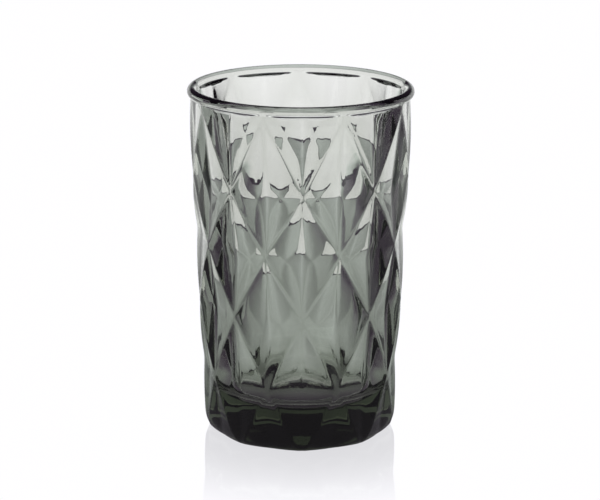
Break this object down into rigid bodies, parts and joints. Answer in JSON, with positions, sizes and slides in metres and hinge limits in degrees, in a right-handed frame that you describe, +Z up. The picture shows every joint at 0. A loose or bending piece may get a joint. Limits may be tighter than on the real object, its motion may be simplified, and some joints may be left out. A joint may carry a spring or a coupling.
{
  "type": "drinking glass",
  "caption": "Tall tapered pressed-glass tumbler in smoke grey with a staggered diamond relief, a rounded lip, a smooth inside and a thick base.",
  "frame": {"origin": "centre of the foot, on the plane that the glass stands on", "axes": "+Z up through the mouth; the ridge crossings 50.8 mm and 98.2 mm above the foot plane face -Y"},
  "size_m": [0.084, 0.084, 0.131],
  "materials": {
    "smoke_glass": "polished pressed glass, smoke grey, clear"
  },
  "bodies": {
    "root": {"glass_body": "smoke_glass"}
  },
  "joints": []
}
